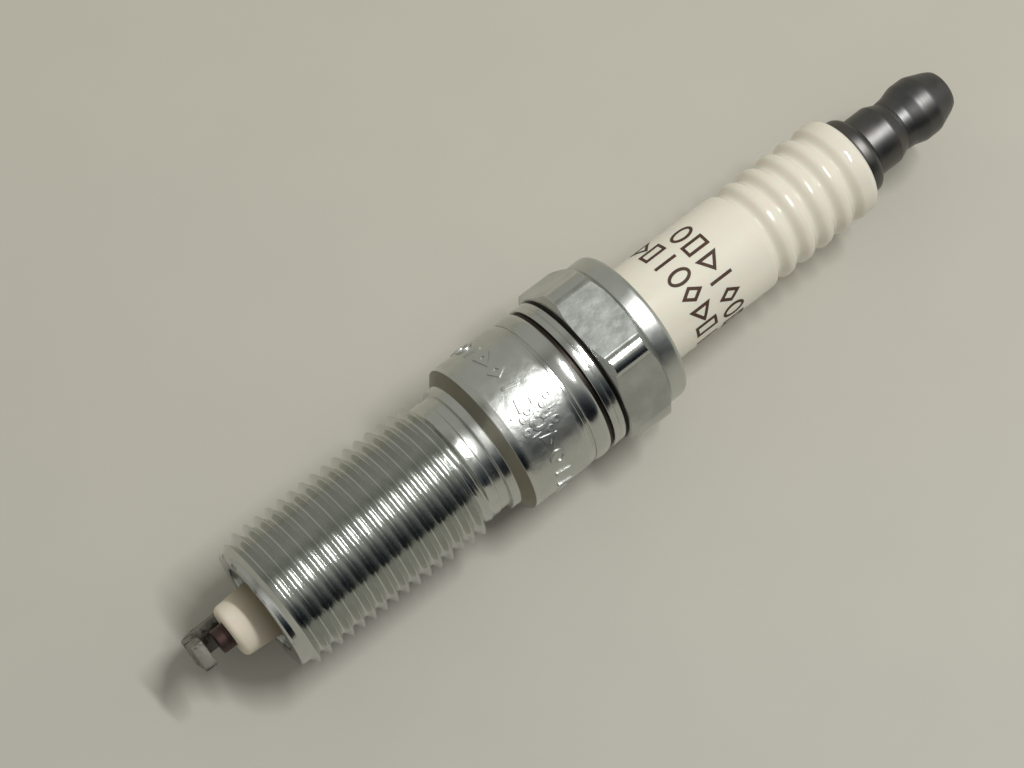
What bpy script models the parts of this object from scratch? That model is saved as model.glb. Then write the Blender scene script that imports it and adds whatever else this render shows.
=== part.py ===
"""Motorcycle spark plug, 14 mm thread, conical seat, 16 mm hexagon.

The plug lies on one flat of its hexagon. Its axis runs along +X, from the spark
end to the terminal end, and +Z is up. The origin is the centre of the footprint.
Sizes below are in millimetres; places are measured along the plug from the spark
end of the steel shell, towards the terminal.
"""
import math

import bmesh
import bpy
from mathutils import Matrix

MM = 0.001

# ---------------------------------------------------------------- driving sizes
SEGMENTS = 24                   # sides of every round piece, a multiple of 12

# clearances
FIT = 0.10                      # between pieces that are pressed together
RUN = 0.08                      # between the nut and the stud thread
SLACK = 0.15                    # between the insulator and the shell's bores

# steel shell
HEX_ACROSS_FLATS = 15.88
HEX_CORNER_CUT = 0.09           # how far the corners are rounded off
HEX_LENGTH = 4.85
HEX_CHAMFER_LOW = 0.42          # axial length of the corner chamfers
HEX_CHAMFER_HIGH = 0.72
HEX_NECK = 0.25                 # narrow groove before the hexagon
THREAD_PITCH = 1.25
THREAD_CREST_RADIUS = 6.93
THREAD_DEPTH = 0.60             # in pitches
THREAD_SINK = 0.12              # how deep the ridge's foot sits in the core
THREAD_START = 1.125            # middle of the first crest
THREAD_RUN_OUT = 0.40           # middle of the last crest to the plain neck
REACH = 25.45                   # shell end to the top of the conical seat
NECK_LENGTH = 1.55              # plain neck between the thread and the seat collar
SEAT_RADIUS_SMALL = 6.60
SEAT_COLLAR_LENGTH = 0.80
SEAT_CONE_LENGTH = 0.95
BODY_RADIUS = 7.80
BODY_LENGTH = 6.75
BEAD_RADIUS = 7.90
BEAD_ROOT_RADIUS = 7.65
BEAD_LENGTH = 1.70
BEAD_STEP = 0.40                # narrow step before the bead
SHELL_GROOVE_RADIUS = 7.45
SHELL_GROOVE_WIDTH = 0.40
RING_LENGTH = 1.45
COLLAR_RADIUS = 7.88
COLLAR_LENGTH = 1.42            # straight part of the collar
COLLAR_GROOVE = 0.12            # groove between the hexagon and the collar
CRIMP_ROUND = 0.85              # radius of the rolled shoulder of the crimp
LIP_THICKNESS = 0.95
LIP_SLOPE = 0.35                # underside of the lip
END_CHAMFER = 0.30
MOUTH_RADIUS = 4.50             # bore at the spark end
LEDGE_START = 12.0              # inner ledge that carries the insulator
LEDGE_LENGTH = 2.0

# insulator
INSULATOR_RADIUS = 5.22
INSULATOR_STAND = 26.56         # height above the shell's lip
INSULATOR_TOP_ROUND = 1.02
INSULATOR_SHOULDER = 0.93       # collar held by the shell, proud of the barrel
INSULATOR_SHOULDER_LENGTH = 0.90
INSULATOR_COLLAR_LENGTH = 6.0
INSULATOR_COLLAR_DEPTH = 14.9   # lower edge of the collar, below the shell's lip
INSULATOR_MIDDLE_RADIUS = 4.70
NOSE_REACH = 3.40               # how far the nose stands out of the shell
NOSE_TIP_RADIUS = 2.60
NOSE_ROUND = 0.80
NOSE_MOUTH_RADIUS = 2.78
NOSE_ROOT_RADIUS = 3.60
NOSE_TAPER = 0.15               # how much the nose narrows before its root
RIB_COUNT = 5
RIB_PITCH = 2.37
RIB_TOP_DISTANCE = 2.97         # last groove's middle to the insulator's top
RIB_GROOVE_WIDTH = 1.80
RIB_GROOVE_DEPTH = 0.50
MAIN_BORE_RADIUS = 2.00
BORE_STEP = 11.5                # where the fine bore widens

# electrodes
CENTRE_RADIUS = 1.20
CENTRE_REACH = 4.70             # tip of the centre electrode, out of the shell
CENTRE_HEAD_LENGTH = 1.20
CENTRE_EDGE = 0.15
CORE_WALL = 0.58                # nickel around the copper core
CORE_TIP_WALL = 2.2             # nickel left in front of the copper core
SPARK_GAP = 1.05
STRAP_WIDTH = 2.60
STRAP_THICKNESS = 1.25
STRAP_RADIUS = 5.28             # axis of the plug to the middle of the strap leg
STRAP_BEND = 0.90               # inside radius of the bend
STRAP_OVERHANG = 1.30           # arm end past the axis of the plug
STRAP_TURN = 27.6               # leg of the strap, degrees from straight down
STRAP_EDGE = 0.12

# conductors and seals inside the insulator
SEAL_LOW_END = 17.5
RESISTOR_END = 27.0
SEAL_HIGH_END = 36.0
STUD_WALL = 0.45                # seal glass around the stud
STUD_SEAL_DEPTH = 4.5           # knurled end of the stud inside the upper seal
STUD_POINT = 0.30

# terminal
FLANGE_INSET = 0.10             # flange edge inside the insulator's top edge
FLANGE_LENGTH = 1.70
FLANGE_ROUND = 0.80
NUT_BASE_RADIUS = 3.18
NUT_WAIST_RADIUS = 2.70
NUT_TIP_RADIUS = 2.05
NUT_EDGE = 0.15
NUT_BASE_LENGTH = 2.60
NUT_SHOULDER_LENGTH = 1.30      # base to waist
NUT_WAIST_LENGTH = 0.60
NUT_RISE_LENGTH = 2.60          # waist to bulge
NUT_BULGE_LENGTH = 0.80
NUT_CONE_LENGTH = 2.25
NUT_TIP_LENGTH = 0.60
NUT_END_WALL = 2.75             # solid end past the hole
STUD_THREAD_RADIUS = 1.95
STUD_END_GAP = 0.40             # stud end to the bottom of the hole
STUD_END_CHAMFER = 0.35

# sealing washer between insulator and shell
WASHER_THICKNESS = 0.45

# --------------------------------------------------------------- worked-out sizes
HEX_FLAT_RADIUS = HEX_ACROSS_FLATS / 2
HEX_CORNER_RADIUS = HEX_FLAT_RADIUS / math.cos(math.radians(30.0)) - HEX_CORNER_CUT
THREAD_ROOT_RADIUS = THREAD_CREST_RADIUS - THREAD_DEPTH * THREAD_PITCH
INSULATOR_COLLAR_RADIUS = INSULATOR_RADIUS + INSULATOR_SHOULDER
INSULATOR_TOP_RADIUS = INSULATOR_RADIUS - INSULATOR_TOP_ROUND
LEDGE_RADIUS = NOSE_ROOT_RADIUS + 2 * FIT
BORE_RADIUS_LOW = INSULATOR_MIDDLE_RADIUS + SLACK
BORE_RADIUS_HIGH = INSULATOR_COLLAR_RADIUS + SLACK
PACKING_RADIUS = (BORE_RADIUS_HIGH - INSULATOR_RADIUS) / 2 - FIT
NOSE_BORE_RADIUS = CENTRE_RADIUS + FIT
CENTRE_HEAD_RADIUS = MAIN_BORE_RADIUS - 2 * FIT
CORE_RADIUS = CENTRE_RADIUS - CORE_WALL
STUD_RADIUS = MAIN_BORE_RADIUS - STUD_WALL
FLANGE_RADIUS = INSULATOR_TOP_RADIUS - FLANGE_INSET

# --------------------------------------------------------------- worked-out places
NECK_START = REACH - SEAT_CONE_LENGTH - SEAT_COLLAR_LENGTH - NECK_LENGTH
THREAD_TURNS = (NECK_START - THREAD_RUN_OUT - THREAD_START) / THREAD_PITCH
BODY_END = REACH + BODY_LENGTH
BEAD_START = BODY_END + BEAD_STEP
BEAD_END = BEAD_START + BEAD_LENGTH
RING_START = BEAD_END + SHELL_GROOVE_WIDTH
RING_END = RING_START + RING_LENGTH
HEX_START = RING_END + HEX_NECK
HEX_END = HEX_START + HEX_LENGTH
COLLAR_START = HEX_END + COLLAR_GROOVE
CRIMP_START = COLLAR_START + COLLAR_LENGTH
CRIMP_END = CRIMP_START + CRIMP_ROUND
LIP_UNDER = CRIMP_END - LIP_THICKNESS
LEDGE_END = LEDGE_START + LEDGE_LENGTH
LEDGE_SLOPE = BORE_RADIUS_LOW - LEDGE_RADIUS
BORE_WIDE = BORE_STEP + MAIN_BORE_RADIUS - NOSE_BORE_RADIUS
INSULATOR_TOP = CRIMP_END + INSULATOR_STAND
INSULATOR_COLLAR_START = CRIMP_END - INSULATOR_COLLAR_DEPTH
INSULATOR_COLLAR_END = INSULATOR_COLLAR_START + INSULATOR_COLLAR_LENGTH
LOWER_RING = INSULATOR_COLLAR_END + INSULATOR_SHOULDER_LENGTH + FIT + PACKING_RADIUS
UPPER_RING = LIP_UNDER - LIP_SLOPE - FIT - PACKING_RADIUS
STRAP_ARM_INSIDE = CENTRE_REACH + SPARK_GAP
STRAP_ARM_OUTSIDE = STRAP_ARM_INSIDE + STRAP_THICKNESS
STUD_START = SEAL_HIGH_END - STUD_SEAL_DEPTH
FLANGE_START = INSULATOR_TOP + FIT
FLANGE_END = FLANGE_START + FLANGE_LENGTH
NUT_START = FLANGE_END + FIT
NUT_SHOULDER_START = NUT_START + NUT_BASE_LENGTH
NUT_WAIST_START = NUT_SHOULDER_START + NUT_SHOULDER_LENGTH
NUT_RISE_START = NUT_WAIST_START + NUT_WAIST_LENGTH
NUT_BULGE_START = NUT_RISE_START + NUT_RISE_LENGTH
NUT_CONE_START = NUT_BULGE_START + NUT_BULGE_LENGTH
NUT_TIP_START = NUT_CONE_START + NUT_CONE_LENGTH
NUT_END = NUT_TIP_START + NUT_TIP_LENGTH
NUT_HOLE_END = NUT_END - NUT_END_WALL
MIDDLE = (NUT_END - STRAP_ARM_OUTSIDE) / 2
AXIS_HEIGHT = max(HEX_FLAT_RADIUS, BODY_RADIUS, BEAD_RADIUS, COLLAR_RADIUS)


# ------------------------------------------------------------------------ helpers
def start_scene():
    for item in list(bpy.data.objects):
        bpy.data.objects.remove(item, do_unlink=True)
    found = {}
    for name in ("spark_plug", "cutters"):
        found[name] = bpy.data.collections.new(name)
        bpy.context.scene.collection.children.link(found[name])
    return found


COLLECTIONS = start_scene()


def finish(name, colour, roughness, metallic):
    material = bpy.data.materials.new(name)
    material.use_nodes = True
    shader = material.node_tree.nodes["Principled BSDF"]
    shader.inputs["Base Color"].default_value = (*colour, 1.0)
    shader.inputs["Roughness"].default_value = roughness
    shader.inputs["Metallic"].default_value = metallic
    return material


def place(name, mesh, material=None):
    """Put a mesh, made with the plug's axis along its own Z, into the lying plug."""
    piece = bpy.data.objects.new(name, mesh)
    piece.matrix_world = (Matrix.Translation((-MIDDLE * MM, 0.0, AXIS_HEIGHT * MM))
                          @ Matrix.Rotation(math.radians(90.0), 4, "Y"))
    if material is None:
        piece.hide_render = True
        piece.display_type = "WIRE"
        COLLECTIONS["cutters"].objects.link(piece)
    else:
        mesh.materials.append(material)
        COLLECTIONS["spark_plug"].objects.link(piece)
    return piece


def arc(centre, radius, start, end, steps):
    """Points (axial, radial) of an arc, angles in degrees from the +axial direction."""
    points = []
    for step in range(steps + 1):
        angle = math.radians(start + (end - start) * step / steps)
        points.append((centre[0] + radius * math.cos(angle),
                       centre[1] + radius * math.sin(angle)))
    return points


def turned(name, outline, material=None):
    """Turn a closed outline of (axial, radial) points about the plug's axis.

    An outline that starts and ends on the axis makes a solid piece, and any other
    outline makes a ring. The outline runs from the spark end out along the outside.
    """
    on_axis = outline[0][1] == 0.0 and outline[-1][1] == 0.0
    mesh = bpy.data.meshes.new(name)
    build = bmesh.new()
    corners = [build.verts.new((r * MM, 0.0, s * MM)) for s, r in reversed(outline)]
    for first, second in zip(corners, corners[1:]):
        build.edges.new((first, second))
    if not on_axis:
        build.edges.new((corners[-1], corners[0]))
    build.to_mesh(mesh)
    build.free()
    piece = place(name, mesh, material)
    screw = piece.modifiers.new("turn", "SCREW")
    screw.axis = "Z"
    screw.steps = SEGMENTS
    screw.render_steps = SEGMENTS
    screw.use_merge_vertices = True
    screw.merge_threshold = 0.000001
    screw.use_smooth_shade = False
    return piece


def combine(piece, other, operation):
    boolean = piece.modifiers.new(operation.lower(), "BOOLEAN")
    boolean.operation = operation
    boolean.solver = "EXACT"
    boolean.object = other


# ------------------------------------------------------------------------- pieces
def hex_ring():
    """Six-sided wrench ring: a hexagonal prism cut back by a turned, crowned ring."""
    mesh = bpy.data.meshes.new("hex_prism")
    build = bmesh.new()
    corner = HEX_FLAT_RADIUS / math.cos(math.radians(30.0))
    spare = 1.0
    bmesh.ops.create_cone(build, cap_ends=True, segments=6, radius1=corner * MM,
                          radius2=corner * MM, depth=(HEX_LENGTH + 2 * spare) * MM,
                          matrix=Matrix.Translation((0, 0, (HEX_START + HEX_END) / 2 * MM)))
    # create_cone puts a corner on +Y, so the flats face down and up
    build.to_mesh(mesh)
    build.free()
    prism = place("hex_prism", mesh)

    inner = (SHELL_GROOVE_RADIUS + BORE_RADIUS_HIGH) / 2
    rim = HEX_FLAT_RADIUS + (HEX_CORNER_RADIUS - HEX_FLAT_RADIUS) * 0.6
    outline = [(HEX_START, inner), (HEX_START, HEX_FLAT_RADIUS - FIT),
               (HEX_START + HEX_CHAMFER_LOW / 4, rim),
               (HEX_START + HEX_CHAMFER_LOW, HEX_CORNER_RADIUS),
               (HEX_END - HEX_CHAMFER_HIGH, HEX_CORNER_RADIUS),
               (HEX_END - HEX_CHAMFER_HIGH / 3, rim),
               (HEX_END, HEX_FLAT_RADIUS - FIT), (HEX_END, inner)]
    crown = turned("hex_crown", outline)
    combine(crown, prism, "INTERSECT")
    return crown


def thread_ridge():
    """The rolled thread's ridge: its section swept along the helix, ends closed."""
    foot_radius = THREAD_ROOT_RADIUS - THREAD_SINK
    slope = math.tan(math.radians(30.0))
    crest = THREAD_PITCH / 16
    foot = crest + (THREAD_CREST_RADIUS - foot_radius) * slope
    section = [(THREAD_START - foot, foot_radius), (THREAD_START - crest, THREAD_CREST_RADIUS),
               (THREAD_START + crest, THREAD_CREST_RADIUS), (THREAD_START + foot, foot_radius)]
    mesh = bpy.data.meshes.new("thread_ridge")
    build = bmesh.new()
    corners = [build.verts.new((-r * MM, 0.0, s * MM)) for s, r in section]
    face = build.faces.new(corners)
    steps = round(SEGMENTS * THREAD_TURNS)
    bmesh.ops.spin(build, geom=[face], cent=(0, 0, 0), axis=(0, 0, 1),
                   dvec=(0, 0, THREAD_PITCH / SEGMENTS * MM),
                   angle=math.tau * steps / SEGMENTS, steps=steps,
                   use_merge=False, use_duplicate=False)
    bmesh.ops.holes_fill(build, edges=build.edges, sides=4)
    bmesh.ops.recalc_face_normals(build, faces=build.faces)
    build.to_mesh(mesh)
    build.free()
    ridge = place("thread_ridge", mesh)
    # half a facet of turn keeps the ridge's edges off the edges of the turned body
    ridge.matrix_world = ridge.matrix_world @ Matrix.Rotation(math.pi / SEGMENTS, 4, "Z")
    return ridge


def shell():
    """Zinc-plated steel shell: turned body with hexagon, thread, seat and crimp lip."""
    steel = finish("zinc_plated_steel", (0.62, 0.63, 0.61), 0.28, 1.0)
    step = 0.08
    lip_radius = INSULATOR_RADIUS + FIT
    outside = [(0.0, THREAD_ROOT_RADIUS - END_CHAMFER), (END_CHAMFER, THREAD_ROOT_RADIUS),
               (NECK_START + NECK_LENGTH, THREAD_ROOT_RADIUS),
               (NECK_START + NECK_LENGTH + step, SEAT_RADIUS_SMALL),
               (REACH - SEAT_CONE_LENGTH, SEAT_RADIUS_SMALL),
               (REACH, BODY_RADIUS), (BODY_END, BODY_RADIUS),
               (BODY_END + step, BEAD_ROOT_RADIUS), (BEAD_START, BEAD_ROOT_RADIUS)]
    bead = BEAD_RADIUS - BEAD_ROOT_RADIUS
    for point in range(1, 8):
        turn = math.pi * point / 8
        outside.append((BEAD_START + BEAD_LENGTH * (1 - math.cos(turn)) / 2,
                        BEAD_ROOT_RADIUS + bead * math.sin(turn)))
    outside += [(BEAD_END, SHELL_GROOVE_RADIUS), (RING_START, SHELL_GROOVE_RADIUS),
                (RING_START + step, BODY_RADIUS), (RING_END - step, BODY_RADIUS),
                (RING_END, SHELL_GROOVE_RADIUS), (HEX_END - step, SHELL_GROOVE_RADIUS),
                (COLLAR_START, COLLAR_RADIUS - step), (COLLAR_START + step, COLLAR_RADIUS)]
    outside += arc((CRIMP_START, COLLAR_RADIUS - CRIMP_ROUND), CRIMP_ROUND, 90.0, 20.0, 4)
    outside += [(CRIMP_END, (COLLAR_RADIUS - CRIMP_ROUND + lip_radius) / 2 + SLACK),
                (CRIMP_END - step, lip_radius + SLACK), (CRIMP_END - 2 * step, lip_radius)]
    low_slope = BORE_RADIUS_HIGH - BORE_RADIUS_LOW
    wide = INSULATOR_COLLAR_START - FIT
    inside = [(LIP_UNDER, lip_radius), (LIP_UNDER - LIP_SLOPE, BORE_RADIUS_HIGH),
              (wide, BORE_RADIUS_HIGH), (wide - low_slope, BORE_RADIUS_LOW),
              (LEDGE_END + LEDGE_SLOPE, BORE_RADIUS_LOW),
              (LEDGE_END, LEDGE_RADIUS), (LEDGE_START, LEDGE_RADIUS),
              (LEDGE_START + LEDGE_RADIUS - MOUTH_RADIUS, MOUTH_RADIUS), (0.0, MOUTH_RADIUS)]
    body = turned("shell", outside + inside, steel)
    combine(body, hex_ring(), "UNION")
    combine(body, thread_ridge(), "UNION")
    return body


def insulator():
    """Glazed alumina insulator: nose, shoulders, plain barrel, ribs and rounded top."""
    ceramic = finish("glazed_alumina", (0.88, 0.85, 0.76), 0.16, 0.0)
    outside = [(-NOSE_REACH, NOSE_BORE_RADIUS)]
    outside += arc((-NOSE_REACH + NOSE_ROUND, NOSE_TIP_RADIUS - NOSE_ROUND),
                   NOSE_ROUND, 180.0, 90.0, 4)
    seat = LEDGE_END + WASHER_THICKNESS
    outside += [(0.0, NOSE_MOUTH_RADIUS), (LEDGE_START, NOSE_ROOT_RADIUS - NOSE_TAPER),
                (seat, NOSE_ROOT_RADIUS),
                (seat + INSULATOR_MIDDLE_RADIUS - NOSE_ROOT_RADIUS, INSULATOR_MIDDLE_RADIUS)]
    rise = INSULATOR_COLLAR_RADIUS - INSULATOR_MIDDLE_RADIUS
    outside += [(INSULATOR_COLLAR_START - rise, INSULATOR_MIDDLE_RADIUS),
                (INSULATOR_COLLAR_START, INSULATOR_COLLAR_RADIUS),
                (INSULATOR_COLLAR_END, INSULATOR_COLLAR_RADIUS),
                (INSULATOR_COLLAR_END + INSULATOR_SHOULDER_LENGTH, INSULATOR_RADIUS)]
    first_groove = INSULATOR_TOP - RIB_TOP_DISTANCE - (RIB_COUNT - 1) * RIB_PITCH
    for rib in range(RIB_COUNT):
        middle = first_groove + rib * RIB_PITCH
        for point in range(7):
            share = point / 6
            dip = RIB_GROOVE_DEPTH * (1 - math.cos(math.tau * share)) / 2
            outside.append((middle + RIB_GROOVE_WIDTH * (share - 0.5),
                            INSULATOR_RADIUS - dip))
    outside += arc((INSULATOR_TOP - INSULATOR_TOP_ROUND, INSULATOR_TOP_RADIUS),
                   INSULATOR_TOP_ROUND, 90.0, 0.0, 4)
    inside = [(INSULATOR_TOP, MAIN_BORE_RADIUS), (BORE_WIDE, MAIN_BORE_RADIUS),
              (BORE_STEP, NOSE_BORE_RADIUS)]
    return turned("insulator", outside + inside, ceramic)


def lower_seat_washer():
    """Soft steel washer on the shell's inner ledge, under the insulator's shoulder."""
    steel = finish("seat_washer_steel", (0.45, 0.44, 0.42), 0.4, 1.0)
    inner = LEDGE_RADIUS + FIT / 2
    outer = BORE_RADIUS_LOW - FIT
    low = LEDGE_END + 2 * FIT
    rise = outer - inner
    high = WASHER_THICKNESS
    outline = [(low, inner), (low + rise, outer), (low + rise + high, outer),
               (low + high, inner)]
    return turned("lower_seat_washer", outline, steel)


def packing_ring(name, middle):
    """Round wire ring that closes one end of the powder filling."""
    steel = finish(name + "_steel", (0.45, 0.44, 0.42), 0.4, 1.0)
    centre = (INSULATOR_RADIUS + BORE_RADIUS_HIGH) / 2
    outline = arc((middle, centre), PACKING_RADIUS, 180.0, -180.0, 10)[:-1]
    return turned(name, outline, steel)


def talc_fill():
    """Pressed talc powder between the two packing rings."""
    powder = finish("pressed_talc", (0.78, 0.76, 0.70), 0.95, 0.0)
    inner = INSULATOR_RADIUS + FIT
    outer = BORE_RADIUS_HIGH - FIT
    start = LOWER_RING + PACKING_RADIUS + FIT
    end = UPPER_RING - PACKING_RADIUS - FIT
    outline = [(start, inner), (start, outer), (end, outer), (end, inner)]
    return turned("talc_fill", outline, powder)


def centre_electrode():
    """Nickel-alloy electrode with a head on the bore's step, hollow for its core."""
    nickel = finish("nickel_alloy_dark", (0.12, 0.09, 0.09), 0.55, 1.0)
    head = BORE_WIDE + FIT
    head_end = head + CENTRE_HEAD_LENGTH
    hollow = CORE_RADIUS + FIT / 2
    hollow_end = -CENTRE_REACH + CORE_TIP_WALL
    neck = head - CENTRE_HEAD_RADIUS + CENTRE_RADIUS
    outline = [(-CENTRE_REACH, 0.0), (-CENTRE_REACH, CENTRE_RADIUS - CENTRE_EDGE),
               (-CENTRE_REACH + CENTRE_EDGE, CENTRE_RADIUS), (neck, CENTRE_RADIUS),
               (head, CENTRE_HEAD_RADIUS), (head_end, CENTRE_HEAD_RADIUS),
               (head_end, hollow), (hollow_end, hollow), (hollow_end, 0.0)]
    return turned("centre_electrode", outline, nickel)


def centre_core():
    """Copper core that carries heat out of the centre electrode."""
    copper = finish("copper", (0.72, 0.34, 0.20), 0.35, 1.0)
    start = -CENTRE_REACH + CORE_TIP_WALL + FIT
    end = BORE_WIDE + FIT + CENTRE_HEAD_LENGTH
    return turned("centre_electrode_core", rod(start, end, CORE_RADIUS), copper)


def rod(start, end, radius):
    """Outline of a plain round piece on the axis."""
    return [(start, 0.0), (start, radius), (end, radius), (end, 0.0)]


def conductor_stack():
    """Glass seals and resistor that fill the insulator's bore, end to end."""
    glass = finish("copper_glass_seal", (0.16, 0.10, 0.08), 0.5, 0.0)
    carbon = finish("resistor_glass", (0.05, 0.05, 0.06), 0.6, 0.0)
    radius = MAIN_BORE_RADIUS - FIT
    start = BORE_WIDE + CENTRE_HEAD_LENGTH + 2 * FIT
    turned("lower_glass_seal", rod(start, SEAL_LOW_END, radius), glass)
    turned("resistor", rod(SEAL_LOW_END + FIT, RESISTOR_END, radius), carbon)
    pocket = STUD_START - FIT
    turned("upper_glass_seal",
           [(RESISTOR_END + FIT, 0.0), (RESISTOR_END + FIT, radius),
            (SEAL_HIGH_END, radius), (SEAL_HIGH_END, STUD_RADIUS + FIT),
            (pocket, STUD_RADIUS + FIT), (pocket, 0.0)], glass)


def terminal_stud():
    """Steel stud from the upper seal to the terminal: shank, flange, threaded end."""
    steel = finish("blackened_steel_stud", (0.10, 0.10, 0.11), 0.35, 1.0)
    end = NUT_HOLE_END - STUD_END_GAP
    outline = [(STUD_START, 0.0), (STUD_START, STUD_RADIUS - STUD_POINT),
               (STUD_START + STUD_POINT, STUD_RADIUS), (FLANGE_START, STUD_RADIUS),
               (FLANGE_START, FLANGE_RADIUS)]
    outline += arc((FLANGE_END - FLANGE_ROUND, FLANGE_RADIUS - FLANGE_ROUND), FLANGE_ROUND,
                   90.0, 0.0, 4)
    outline += [(FLANGE_END, STUD_THREAD_RADIUS), (end - STUD_END_CHAMFER, STUD_THREAD_RADIUS),
                (end, STUD_THREAD_RADIUS - STUD_END_CHAMFER), (end, 0.0)]
    return turned("terminal_stud", outline, steel)


def terminal_nut():
    """Screwed-on terminal nut: base, waist and the bulge that a cap snaps over."""
    steel = finish("blackened_steel_nut", (0.10, 0.10, 0.11), 0.35, 1.0)
    hole = STUD_THREAD_RADIUS + RUN
    bulge = NUT_BASE_RADIUS - NUT_WAIST_RADIUS
    # the outline touches the axis at both ends of the solid tip, so it starts there
    outline = [(NUT_HOLE_END, 0.0), (NUT_HOLE_END, hole), (NUT_START, hole),
               (NUT_START, NUT_BASE_RADIUS - NUT_EDGE),
               (NUT_START + NUT_EDGE, NUT_BASE_RADIUS),
               (NUT_SHOULDER_START, NUT_BASE_RADIUS),
               (NUT_SHOULDER_START + NUT_SHOULDER_LENGTH / 2, NUT_BASE_RADIUS - bulge * 0.35),
               (NUT_WAIST_START, NUT_WAIST_RADIUS), (NUT_RISE_START, NUT_WAIST_RADIUS)]
    for point in range(1, 6):
        share = point / 5
        outline.append((NUT_RISE_START + NUT_RISE_LENGTH * share,
                        NUT_WAIST_RADIUS + bulge * math.sin(share * math.pi / 2)))
    outline += [(NUT_CONE_START, NUT_BASE_RADIUS),
                (NUT_CONE_START + NUT_CONE_LENGTH / 2, (NUT_BASE_RADIUS * 2 + NUT_TIP_RADIUS) / 3),
                (NUT_TIP_START, NUT_TIP_RADIUS + NUT_EDGE),
                (NUT_END - NUT_EDGE, NUT_TIP_RADIUS), (NUT_END, NUT_TIP_RADIUS - NUT_EDGE),
                (NUT_END, 0.0)]
    return turned("terminal_nut", outline, steel)


def ground_electrode():
    """Flat nickel strap, welded to the shell's end and bent over the centre electrode."""
    nickel = finish("nickel_alloy_strap", (0.50, 0.49, 0.45), 0.42, 1.0)
    inner = STRAP_RADIUS - STRAP_THICKNESS / 2
    outer = STRAP_RADIUS + STRAP_THICKNESS / 2
    foot = -FIT / 2
    bend = (-STRAP_ARM_INSIDE + STRAP_BEND, inner - STRAP_BEND)
    side = [(foot, inner)]
    side += arc(bend, STRAP_BEND, 90.0, 180.0, 5)
    side += [(-STRAP_ARM_INSIDE, -STRAP_OVERHANG), (-STRAP_ARM_OUTSIDE, -STRAP_OVERHANG)]
    side += arc(bend, STRAP_BEND + STRAP_THICKNESS, 180.0, 90.0, 8)
    side += [(foot, outer)]
    mesh = bpy.data.meshes.new("ground_electrode")
    build = bmesh.new()
    half = STRAP_WIDTH / 2
    corners = [build.verts.new((r * MM, -half * MM, s * MM)) for s, r in side]
    face = build.faces.new(corners)
    swept = bmesh.ops.extrude_face_region(build, geom=[face])
    moved = [item for item in swept["geom"] if isinstance(item, bmesh.types.BMVert)]
    bmesh.ops.translate(build, vec=(0.0, STRAP_WIDTH * MM, 0.0), verts=moved)
    bmesh.ops.recalc_face_normals(build, faces=build.faces)
    build.to_mesh(mesh)
    build.free()
    piece = place("ground_electrode", mesh, nickel)
    # local +X of a turned mesh points straight down, and +Y stays +Y
    piece.matrix_world = piece.matrix_world @ Matrix.Rotation(
        math.radians(STRAP_TURN), 4, "Z")
    bevel = piece.modifiers.new("edges", "BEVEL")
    bevel.width = STRAP_EDGE * MM
    bevel.segments = 1
    bevel.limit_method = "ANGLE"
    bevel.angle_limit = math.radians(40.0)
    return piece


shell()
insulator()
lower_seat_washer()
packing_ring("lower_packing_ring", LOWER_RING)
packing_ring("upper_packing_ring", UPPER_RING)
talc_fill()
centre_electrode()
centre_core()
conductor_stack()
terminal_stud()
terminal_nut()
ground_electrode()
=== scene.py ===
"""A motorcycle spark plug with a conical seat, lying on one flat of its hexagon.

Lengths are in millimetres, turned to metres by MM. Places along the plug are counted
from the spark end of its steel shell, towards the terminal.
"""
import math

import bpy
from mathutils import Matrix, Vector


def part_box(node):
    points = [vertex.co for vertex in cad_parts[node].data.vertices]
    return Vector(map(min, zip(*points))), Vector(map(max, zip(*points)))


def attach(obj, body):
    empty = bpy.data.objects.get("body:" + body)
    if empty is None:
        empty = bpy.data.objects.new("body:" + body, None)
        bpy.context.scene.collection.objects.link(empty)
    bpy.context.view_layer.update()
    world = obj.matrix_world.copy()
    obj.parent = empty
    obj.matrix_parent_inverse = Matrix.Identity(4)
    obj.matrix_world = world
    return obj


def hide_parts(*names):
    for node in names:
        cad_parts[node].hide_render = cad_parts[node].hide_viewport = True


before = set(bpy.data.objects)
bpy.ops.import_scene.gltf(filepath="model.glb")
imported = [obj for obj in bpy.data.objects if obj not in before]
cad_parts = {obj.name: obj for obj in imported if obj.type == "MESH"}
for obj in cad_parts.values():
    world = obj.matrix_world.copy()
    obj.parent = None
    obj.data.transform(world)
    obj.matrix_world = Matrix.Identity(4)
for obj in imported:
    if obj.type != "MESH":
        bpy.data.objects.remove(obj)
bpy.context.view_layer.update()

# ---------------------------------------------------------------------- insulator
# Alumina body, pressed and ground to shape, glazed above the shell and left bare at
# the nose. The shell's rolled lip holds it by its inner shoulder.

MM = 0.001
DOUBLES = 1e-6
SPARK_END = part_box("shell")[0].x
AXIS_HEIGHT = (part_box("shell")[0].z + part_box("shell")[1].z) / 2
SIDES = 192


def along_plug(x):
    """Millimetres from the shell's spark end to the place x of the frame."""
    return (x - SPARK_END) / MM


def eased(corners, steps=4):
    """An outline whose corners are turned into small arcs.

    Each corner is its place along the plug, its distance from the axis and its arc's
    radius, which shrinks where the corner before or after is too near.
    """
    outline = []
    for place, (along, out, radius) in enumerate(corners):
        here = Vector((along, out))
        if radius == 0.0:
            outline.append(here)
            continue
        before = Vector(corners[place - 1][:2]) - here
        after = Vector(corners[(place + 1) % len(corners)][:2]) - here
        half = before.angle(after) / 2
        reach = min(radius / math.tan(half), before.length * 0.45, after.length * 0.45)
        radius = reach * math.tan(half)
        before.normalize()
        after.normalize()
        middle = here + (before + after).normalized() * radius / math.sin(half)
        first = here + before * reach - middle
        last = here + after * reach - middle
        for step in range(steps + 1):
            outline.append(middle + first.lerp(last, step / steps).normalized() * radius)
    return outline


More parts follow.
